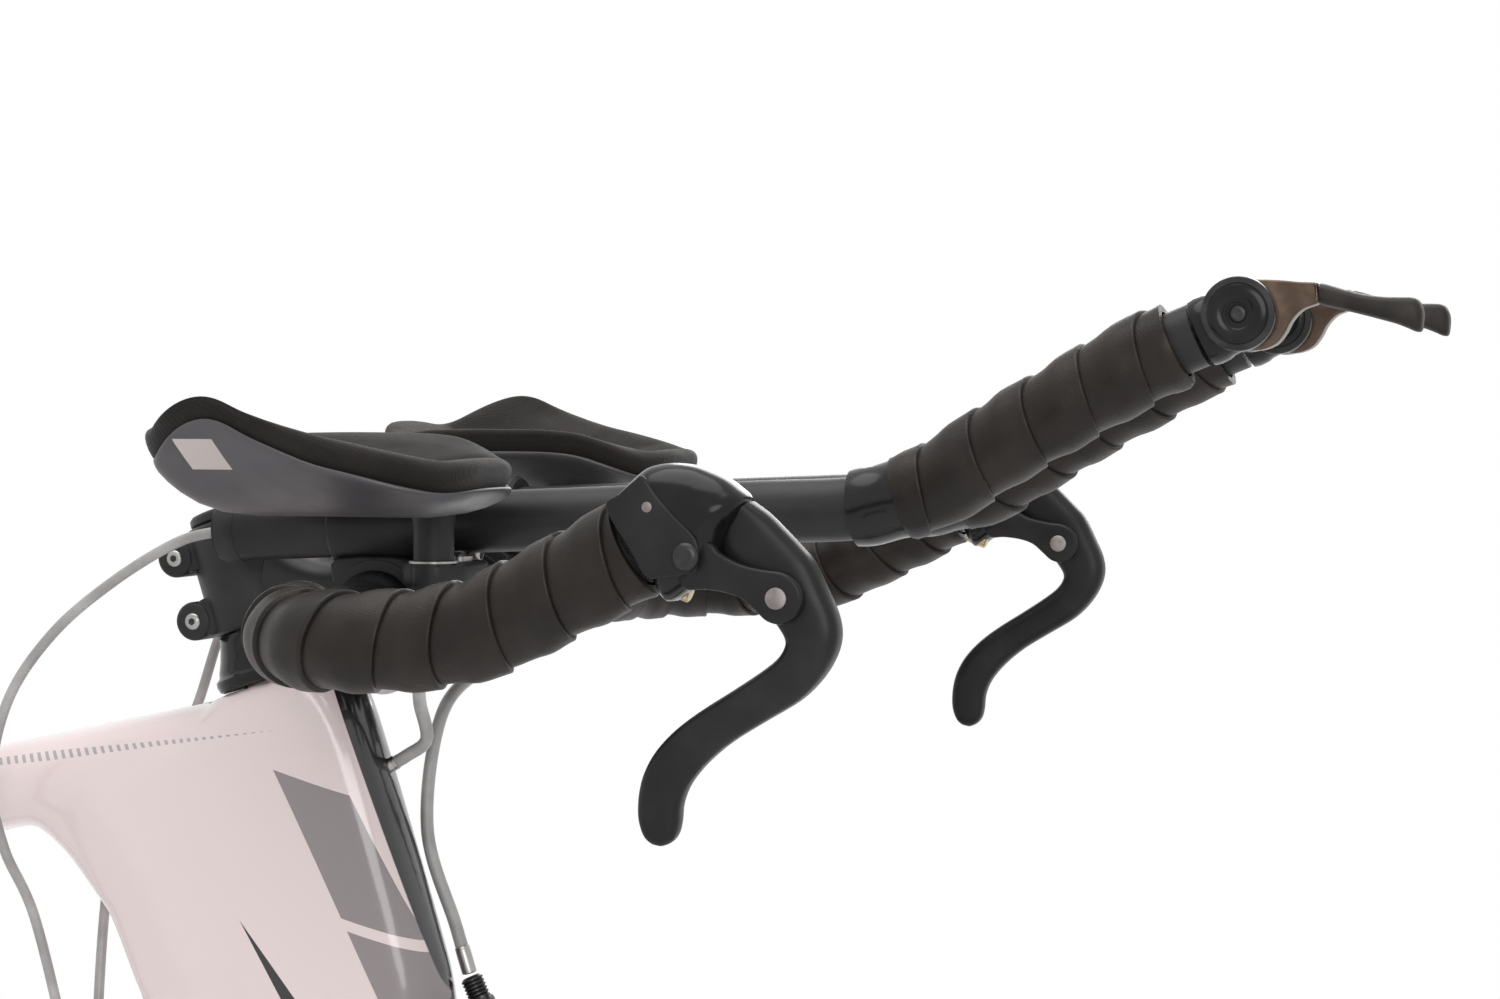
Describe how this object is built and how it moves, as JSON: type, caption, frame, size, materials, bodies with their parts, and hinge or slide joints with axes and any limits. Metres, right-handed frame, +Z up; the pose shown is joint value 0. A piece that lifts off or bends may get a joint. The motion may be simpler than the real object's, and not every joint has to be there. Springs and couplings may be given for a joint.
{
  "type": "road bicycle",
  "caption": "Time-trial road bicycle with a base bar, forward extensions with padded arm rests, bar-end shifters and rim brakes.",
  "frame": {"origin": "on the ground, midway between the axles, in the mid-plane", "axes": "+X forward, +Y to the rider's left, +Z up"},
  "size_m": [1.653, 0.432, 0.9969],
  "materials": {
    "white_paint": "gloss white over carbon",
    "black_alloy": "satin black",
    "steel": "satin",
    "black_plastic": "matte",
    "lever_black": "gloss black over carbon",
    "bronze": "bronze-grey metallic",
    "saddle_cover": "matte",
    "arm_foam": "fine woven cloth over foam",
    "cork_tape": "matte cork blend",
    "tyre": "matte",
    "grey_housing": "satin grey"
  },
  "bodies": {
    "frame_body": {"frame": "white_paint", "seatpost": "black_alloy", "saddle_base": "black_plastic", "saddle_cushion": "saddle_cover", "bottom_bracket": "black_alloy", "rear_axle": "steel", "chain": "steel", "derailleur_link": "black_alloy", "front_derailleur_body": "black_alloy"},
    "steering_body": {"fork": "white_paint", "headset_cover": "black_alloy", "stem": "black_alloy", "stem_face_plate": "black_alloy", "base_bar": "black_alloy", "right_bar_tape": "cork_tape", "left_bar_tape": "cork_tape", "right_brake_lever_body": "black_plastic", "left_brake_lever_body": "black_plastic", "right_extension": "black_alloy", "left_extension": "black_alloy", "right_extension_tape": "cork_tape", "left_extension_tape": "cork_tape", "right_extension_bracket": "black_alloy", "left_extension_bracket": "black_alloy", "right_arm_rest": "black_plastic", "left_arm_rest": "black_plastic", "right_arm_pad": "arm_foam", "left_arm_pad": "arm_foam", "right_shifter_body": "black_plastic", "left_shifter_body": "black_plastic", "right_shift_housing": "grey_housing", "left_shift_housing": "grey_housing", "front_brake_housing": "grey_housing", "rear_brake_housing": "grey_housing", "front_axle": "steel"},
    "front_wheel_body": {"front_wheel": "black_alloy", "front_tyre": "tyre"},
    "rear_wheel_body": {"rear_wheel": "black_alloy", "rear_tyre": "tyre"},
    "cassette_body": {"cassette": "steel"},
    "crank_body": {"crank_right": "black_alloy", "crank_left": "black_alloy", "outer_chainring": "black_alloy"},
    "right_pedal_body": {"right_pedal": "black_alloy"},
    "left_pedal_body": {"left_pedal": "black_alloy"},
    "right_brake_lever_blade": {"right_brake_lever": "lever_black"},
    "left_brake_lever_blade": {"left_brake_lever": "lever_black"},
    "right_shift_lever_body": {"right_shift_lever": "bronze"},
    "left_shift_lever_body": {"left_shift_lever": "bronze"},
    "front_brake_left_body": {"front_brake_arm_left": "black_alloy"},
    "front_brake_right_body": {"front_brake_arm_right": "black_alloy"},
    "rear_brake_left_body": {"rear_brake_arm_left": "black_alloy"},
    "rear_brake_right_body": {"rear_brake_arm_right": "black_alloy"},
    "front_release_body": {"front_release_lever": "steel"},
    "rear_release_body": {"rear_release_lever": "steel"},
    "derailleur_body": {"derailleur_pulley_knuckle": "black_alloy"},
    "cage_body": {"derailleur_cage": "steel"},
    "guide_pulley_body": {"guide_pulley": "black_plastic"},
    "tension_pulley_body": {"tension_pulley": "black_plastic"},
    "front_derailleur_moving": {"front_derailleur_cage": "steel"}
  },
  "joints": [
    {"name": "steering", "type": "hinge", "parent": "frame_body", "child": "steering_body", "pos_m": [0.34083, 0, 0.67204], "axis": [-0.3007, 0, 0.9537], "range_deg": [-40, 40], "deforming": ["right_shift_housing", "left_shift_housing", "rear_brake_housing"]},
    {"name": "front_wheel_spin", "type": "hinge", "parent": "steering_body", "child": "front_wheel_body", "pos_m": [0.4925, 0, 0.334], "axis": [0, 1, 0], "continuous": true},
    {"name": "rear_wheel_spin", "type": "hinge", "parent": "frame_body", "child": "rear_wheel_body", "pos_m": [-0.4925, 0, 0.334], "axis": [0, 1, 0], "continuous": true},
    {"name": "crank_spin", "type": "hinge", "parent": "frame_body", "child": "crank_body", "pos_m": [-0.09325, 0, 0.266], "axis": [0, 1, 0], "continuous": true, "deforming": ["chain"]},
    {"name": "cassette_spin", "type": "hinge", "parent": "frame_body", "child": "cassette_body", "pos_m": [-0.4925, 0, 0.334], "axis": [0, 1, 0], "continuous": true, "deforming": ["chain"]},
    {"name": "right_pedal_spin", "type": "hinge", "parent": "crank_body", "child": "right_pedal_body", "pos_m": [0.07925, -0.073, 0.266], "axis": [0, 1, 0], "continuous": true},
    {"name": "left_pedal_spin", "type": "hinge", "parent": "crank_body", "child": "left_pedal_body", "pos_m": [-0.26575, 0.073, 0.266], "axis": [0, 1, 0], "continuous": true},
    {"name": "right_brake_lever_pull", "type": "hinge", "parent": "steering_body", "child": "right_brake_lever_blade", "pos_m": [0.55652, -0.2, 0.86209], "axis": [0, 1, 0], "range_deg": [0, 25], "stiffness_Nm_per_rad": 0.6, "springref_deg": -20.05},
    {"name": "left_brake_lever_pull", "type": "hinge", "parent": "steering_body", "child": "left_brake_lever_blade", "pos_m": [0.55652, 0.2, 0.86209], "axis": [0, 1, 0], "range_deg": [0, 25], "stiffness_Nm_per_rad": 0.6, "springref_deg": -20.05},
    {"name": "front_brake_left", "type": "hinge", "parent": "steering_body", "child": "front_brake_left_body", "pos_m": [0.37205, 0, 0.67041], "axis": [0.9104, 0, 0.4137], "range_deg": [-2.4, 0]},
    {"name": "front_brake_right", "type": "hinge", "parent": "steering_body", "child": "front_brake_right_body", "pos_m": [0.37081, -0.022, 0.67314], "axis": [0.9104, 0, 0.4137], "range_deg": [0, 2.4]},
    {"name": "rear_brake_left", "type": "hinge", "parent": "frame_body", "child": "rear_brake_left_body", "pos_m": [-0.24266, 0, 0.59071], "axis": [-0.6567, 0, 0.7541], "range_deg": [0, 2.4]},
    {"name": "rear_brake_right", "type": "hinge", "parent": "frame_body", "child": "rear_brake_right_body", "pos_m": [-0.2404, -0.022, 0.59268], "axis": [-0.6567, 0, 0.7541], "range_deg": [-2.4, 0]},
    {"name": "right_shift_lever_turn", "type": "hinge", "parent": "steering_body", "child": "right_shift_lever_body", "pos_m": [0.66992, -0.0426, 0.9502], "axis": [0, 1, 0], "range_deg": [-34, 42.5]},
    {"name": "left_shift_lever_turn", "type": "hinge", "parent": "steering_body", "child": "left_shift_lever_body", "pos_m": [0.66992, 0.0426, 0.9502], "axis": [0, 1, 0], "range_deg": [-40, 0]},
    {"name": "front_release_turn", "type": "hinge", "parent": "steering_body", "child": "front_release_body", "pos_m": [0.4925, 0.068, 0.334], "axis": [0, 0, 1], "range_deg": [-180, 0]},
    {"name": "rear_release_turn", "type": "hinge", "parent": "frame_body", "child": "rear_release_body", "pos_m": [-0.4925, 0.083, 0.334], "axis": [0, 0, 1], "range_deg": [-180, 0]},
    {"name": "derailleur_shift", "type": "slide", "parent": "frame_body", "child": "derailleur_body", "axis": [0, 0.9397, -0.342], "range_m": [-0.01682, 0.02102], "deforming": ["chain", "derailleur_link"]},
    {"name": "cage_tension", "type": "hinge", "parent": "derailleur_body", "child": "cage_body", "pos_m": [-0.4895, 0, 0.269], "axis": [0, 1, 0], "range_deg": [-25, 25], "stiffness_Nm_per_rad": 0.8, "deforming": ["chain"]},
    {"name": "guide_pulley_spin", "type": "hinge", "parent": "cage_body", "child": "guide_pulley_body", "pos_m": [-0.4865, 0, 0.264], "axis": [0, 1, 0], "continuous": true, "deforming": ["chain"]},
    {"name": "tension_pulley_spin", "type": "hinge", "parent": "cage_body", "child": "tension_pulley_body", "pos_m": [-0.46552, 0, 0.21208], "axis": [0, 1, 0], "continuous": true, "deforming": ["chain"]},
    {"name": "front_derailleur_shift", "type": "slide", "parent": "frame_body", "child": "front_derailleur_moving", "axis": [0, -1, 0], "range_m": [-0.007, 0], "deforming": ["front_derailleur_body"]}
  ],
  "couplings": [
    {"joint": "cassette_spin", "follows": "crank_spin", "ratio": 3.5333},
    {"joint": "guide_pulley_spin", "follows": "crank_spin", "ratio": -4.8182},
    {"joint": "tension_pulley_spin", "follows": "crank_spin", "ratio": 4.8182},
    {"joint": "front_brake_left", "follows": "left_brake_lever_pull", "ratio": -0.088},
    {"joint": "front_brake_right", "follows": "left_brake_lever_pull", "ratio": 0.088},
    {"joint": "rear_brake_left", "follows": "right_brake_lever_pull", "ratio": 0.088},
    {"joint": "rear_brake_right", "follows": "right_brake_lever_pull", "ratio": -0.088},
    {"joint": "derailleur_shift", "follows": "right_shift_lever_turn", "m_per_rad": 0.028333},
    {"joint": "front_derailleur_shift", "follows": "left_shift_lever_turn", "m_per_rad": 0.01003}
  ]
}
